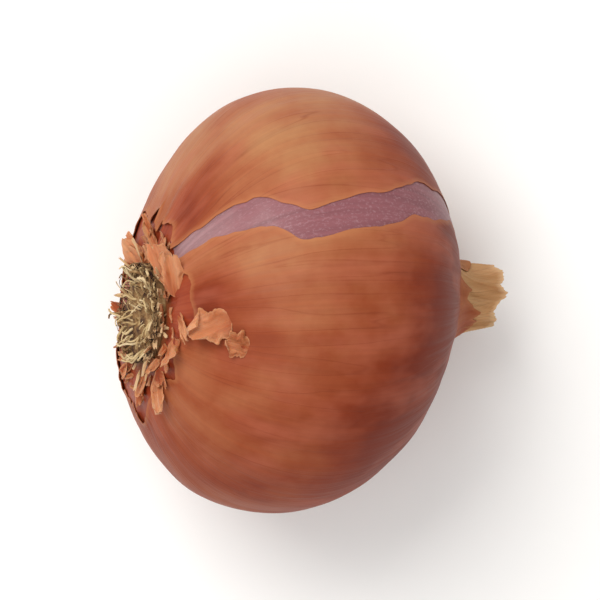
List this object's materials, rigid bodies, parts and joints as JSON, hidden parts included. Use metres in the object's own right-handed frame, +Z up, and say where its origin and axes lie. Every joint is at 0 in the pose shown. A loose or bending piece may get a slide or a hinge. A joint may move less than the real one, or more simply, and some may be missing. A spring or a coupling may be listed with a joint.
{
  "type": "shallot",
  "caption": "Round copper-brown shallot lying on its side, with a split and torn dry skin, a withered neck and a dry root tuft.",
  "frame": {"origin": "middle of the small flat spot that the shallot rests on", "axes": "+Z up; +X towards the neck, which dips 25 degrees below level; +Y across the bulb along its greatest width"},
  "size_m": [0.0432, 0.0462, 0.0396],
  "materials": {
    "fleshy_scale": "satin, violet where the skin is split and dark orange red round the root end",
    "dry_skin": "satin, finely veined papery copper-brown skin",
    "withered_leaf": "matt, tan papery folds",
    "dry_root": "matt, straw-coloured dry roots",
    "skin_flake": "satin, thin peach-coloured flakes"
  },
  "bodies": {
    "root": {"bulb": "fleshy_scale", "outer_skin": "dry_skin", "neck": "withered_leaf", "root_tuft": "dry_root", "skin_flake_1": "skin_flake", "skin_flake_2": "skin_flake", "skin_flake_3": "skin_flake", "skin_flake_4": "skin_flake", "skin_flake_5": "skin_flake", "skin_flake_6": "skin_flake", "skin_flake_7": "skin_flake", "skin_flake_8": "skin_flake", "skin_flake_9": "skin_flake"}
  },
  "joints": []
}
